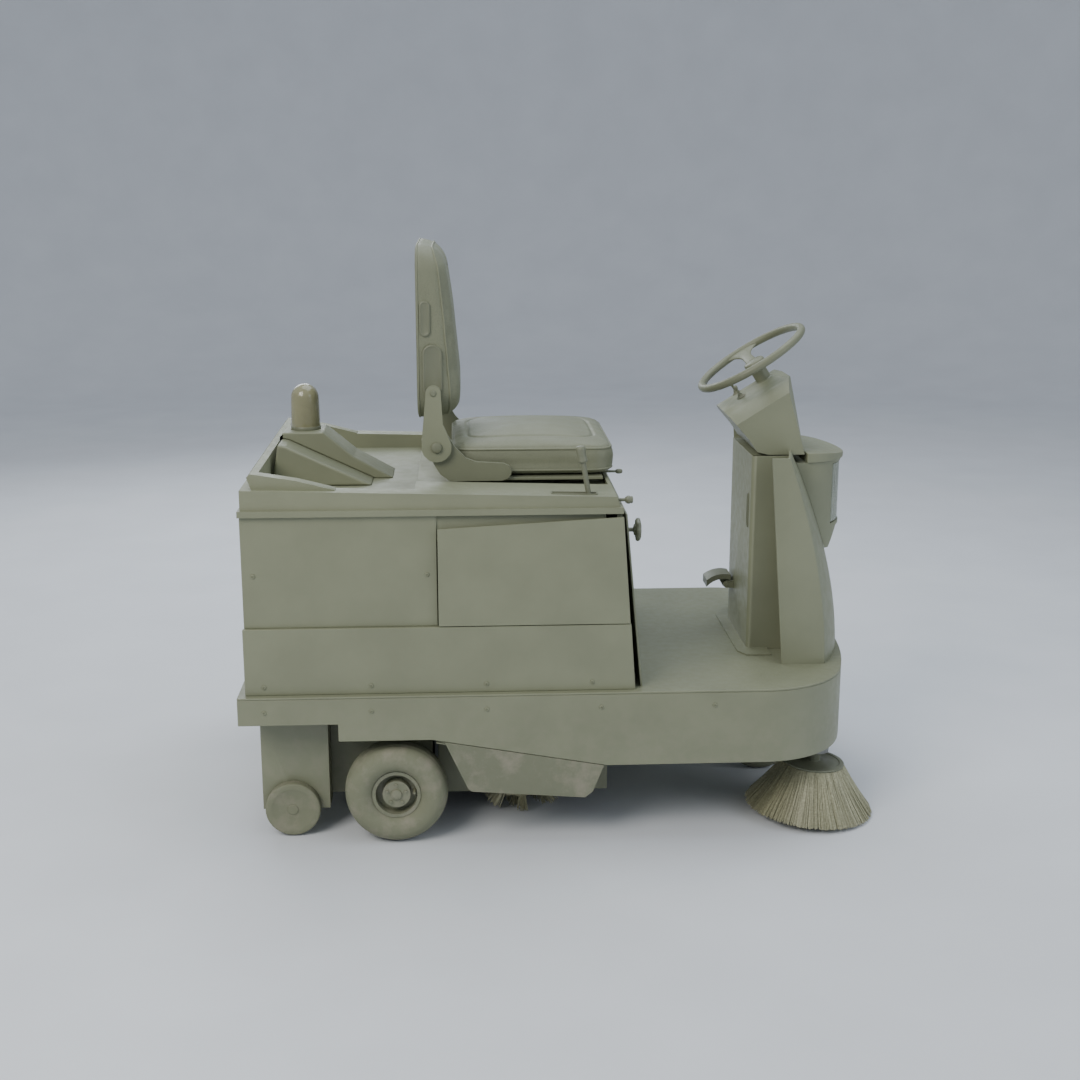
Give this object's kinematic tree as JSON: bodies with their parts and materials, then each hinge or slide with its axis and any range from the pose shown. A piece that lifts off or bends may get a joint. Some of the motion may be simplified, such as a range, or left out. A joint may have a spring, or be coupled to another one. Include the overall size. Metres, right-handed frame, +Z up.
{
  "type": "ride-on sweeper",
  "caption": "Compact ride-on floor sweeper: steered front wheel under a column, cylindrical main broom, front side brush, pull-out rear hopper, seat over the battery body",
  "frame": {"origin": "centre of the machine's box on the floor it stands on", "axes": "+X forward, +Y to the driver's left, +Z up"},
  "size_m": [1.4966, 0.873, 1.356],
  "materials": {
    "chassis_paint": "powder coat, light orange peel",
    "panel_paint": "powder coat",
    "cover_plastic": "moulded, fine grain",
    "frame_steel": "black paint",
    "bright_steel": "machined",
    "flap_rubber": "matt rubber sheet",
    "tyre_rubber": "solid rubber, moulded",
    "hub_paint": "cast and painted",
    "seat_vinyl": "grained vinyl with welts",
    "bristle": "nylon bristle",
    "grip_plastic": "moulded, satin",
    "wheel_grip": "soft-touch moulded",
    "beacon_plastic": "tinted clear moulding",
    "lamp_clear": "clear moulding",
    "motor_alloy": "cast, painted grey"
  },
  "bodies": {
    "chassis": {"deck": "chassis_paint", "skirts": "chassis_paint", "ladder_frame": "frame_steel", "broom_housing": "frame_steel", "side_flaps": "flap_rubber", "lower_panels": "panel_paint", "rear_side_panels": "panel_paint", "rear_panel": "panel_paint", "front_panel": "panel_paint", "front_bulkhead": "frame_steel", "top_cover": "cover_plastic", "dust_cover": "cover_plastic", "beacon_pedestal": "cover_plastic", "beacon_lens": "beacon_plastic", "steering_column": "panel_paint", "front_cowl": "cover_plastic", "headlamp_housing": "cover_plastic", "headlamp_hood": "cover_plastic", "headlamp_lens": "lamp_clear", "console_head": "cover_plastic", "steering_jacket": "frame_steel", "axle_brackets": "frame_steel", "kingpin_bearing": "bright_steel", "broom_motor": "motor_alloy", "battery_pack": "grip_plastic", "filter_box": "cover_plastic", "seat_rails": "bright_steel"},
    "seat": {"seat_frame": "frame_steel", "seat_cushion": "seat_vinyl"},
    "seat_back": {"backrest": "seat_vinyl", "upper_arms": "cover_plastic"},
    "seat_release": {"seat_knob": "grip_plastic"},
    "steering": {"steering_wheel": "wheel_grip", "steering_shaft": "bright_steel"},
    "fork": {"kingpin_shaft": "bright_steel", "front_fork": "frame_steel"},
    "front_wheel": {"front_hub": "hub_paint", "front_tyre": "tyre_rubber"},
    "rear_wheel_right": {"rear_hub_right": "hub_paint", "rear_tyre_right": "tyre_rubber"},
    "rear_wheel_left": {"rear_hub_left": "hub_paint", "rear_tyre_left": "tyre_rubber"},
    "hopper": {"hopper_bin": "chassis_paint", "hopper_legs": "chassis_paint"},
    "hopper_roller_right": {"roller_right": "tyre_rubber"},
    "hopper_roller_left": {"roller_left": "tyre_rubber"},
    "main_broom": {"broom_core": "bright_steel", "broom_bristles": "bristle"},
    "brush_carrier": {"brush_arm": "frame_steel", "brush_motor": "motor_alloy"},
    "side_brush": {"brush_disc": "grip_plastic", "brush_bristles": "bristle"},
    "right_door": {"door_right": "panel_paint"},
    "left_door": {"door_left": "panel_paint"},
    "lever": {"lift_lever": "grip_plastic"},
    "clamp_knob": {"handwheel": "grip_plastic"},
    "choke": {"pull_knob": "grip_plastic"},
    "treadle": {"pedal": "grip_plastic"},
    "work_switch": {"toggle_work": "grip_plastic"},
    "lamp_switch": {"toggle_lamp": "grip_plastic"}
  },
  "joints": [
    {"name": "steering_wheel_turn", "type": "hinge", "parent": "chassis", "child": "steering", "pos_m": [0.47269, 0, 1.069], "axis": [-0.5299, 0, 0.848], "range_deg": [-70, 70]},
    {"name": "fork_swivel", "type": "hinge", "parent": "chassis", "child": "fork", "pos_m": [0.52669, 0, 0.1], "axis": [0, 0, 1], "range_deg": [-70, 70]},
    {"name": "front_wheel_spin", "type": "hinge", "parent": "fork", "child": "front_wheel", "pos_m": [0.52669, 0, 0.1], "axis": [0, 1, 0], "continuous": true},
    {"name": "rear_right_spin", "type": "hinge", "parent": "chassis", "child": "rear_wheel_right", "pos_m": [-0.39781, -0.385, 0.119], "axis": [0, 1, 0], "continuous": true},
    {"name": "rear_left_spin", "type": "hinge", "parent": "chassis", "child": "rear_wheel_left", "pos_m": [-0.39781, 0.385, 0.119], "axis": [0, 1, 0], "continuous": true},
    {"name": "main_broom_spin", "type": "hinge", "parent": "chassis", "child": "main_broom", "pos_m": [-0.10331, 0, 0.147], "axis": [0, 1, 0], "continuous": true},
    {"name": "lever_swing", "type": "hinge", "parent": "chassis", "child": "lever", "pos_m": [0.06569, -0.38, 0.69], "axis": [0, -1, 0], "range_deg": [0, 24]},
    {"name": "brush_lift", "type": "hinge", "parent": "chassis", "child": "brush_carrier", "pos_m": [0.40169, -0.28, 0.205], "axis": [0, -1, 0], "range_deg": [0, 8]},
    {"name": "side_brush_spin", "type": "hinge", "parent": "brush_carrier", "child": "side_brush", "pos_m": [0.59369, -0.28, 0.01231], "axis": [0.0698, 0, 0.9976], "continuous": true},
    {"name": "hopper_pull", "type": "slide", "parent": "chassis", "child": "hopper", "axis": [-1, 0, 0], "range_m": [0, 0.4]},
    {"name": "hopper_roller_right_spin", "type": "hinge", "parent": "hopper", "child": "hopper_roller_right", "pos_m": [-0.64081, -0.3595, 0.067], "axis": [0, 1, 0], "continuous": true},
    {"name": "hopper_roller_left_spin", "type": "hinge", "parent": "hopper", "child": "hopper_roller_left", "pos_m": [-0.64081, 0.3595, 0.067], "axis": [0, 1, 0], "continuous": true},
    {"name": "right_door_swing", "type": "hinge", "parent": "chassis", "child": "right_door", "pos_m": [0.12806, -0.4126, 0.565], "axis": [-0.073, 0, 0.9973], "range_deg": [0, 95]},
    {"name": "left_door_swing", "type": "hinge", "parent": "chassis", "child": "left_door", "pos_m": [0.12806, 0.4126, 0.565], "axis": [0.073, 0, -0.9973], "range_deg": [0, 95]},
    {"name": "seat_slide", "type": "slide", "parent": "chassis", "child": "seat", "axis": [1, 0, 0], "range_m": [-0.03, 0.06]},
    {"name": "seat_recline", "type": "hinge", "parent": "seat", "child": "seat_back", "pos_m": [-0.29531, 0, 0.897], "axis": [0, 1, 0], "range_deg": [-20, 12]},
    {"name": "seat_release_pull", "type": "slide", "parent": "seat", "child": "seat_release", "axis": [1, 0, 0], "range_m": [0, 0.008], "stiffness_N_per_m": 300, "springref_m": -0.002},
    {"name": "clamp_knob_turn", "type": "hinge", "parent": "chassis", "child": "clamp_knob", "pos_m": [0.13337, -0.3, 0.711], "axis": [1, 0, 0], "continuous": true},
    {"name": "choke_pull", "type": "slide", "parent": "chassis", "child": "choke", "axis": [1, 0, 0], "range_m": [0, 0.012]},
    {"name": "pedal_press", "type": "hinge", "parent": "chassis", "child": "treadle", "pos_m": [0.44169, 0.055, 0.477], "axis": [0, -1, 0], "range_deg": [0, 14], "stiffness_Nm_per_rad": 4, "springref_deg": -8.59},
    {"name": "work_switch_flip", "type": "hinge", "parent": "chassis", "child": "work_switch", "pos_m": [0.44212, -0.03, 0.98257], "axis": [0, 1, 0], "range_deg": [-12, 12]},
    {"name": "lamp_switch_flip", "type": "hinge", "parent": "chassis", "child": "lamp_switch", "pos_m": [0.44201, 0.028, 0.98274], "axis": [0, 1, 0], "range_deg": [-12, 12]}
  ],
  "couplings": [
    {"joint": "fork_swivel", "follows": "steering_wheel_turn", "ratio": 1},
    {"joint": "brush_lift", "follows": "lever_swing", "ratio": 0.3333}
  ]
}
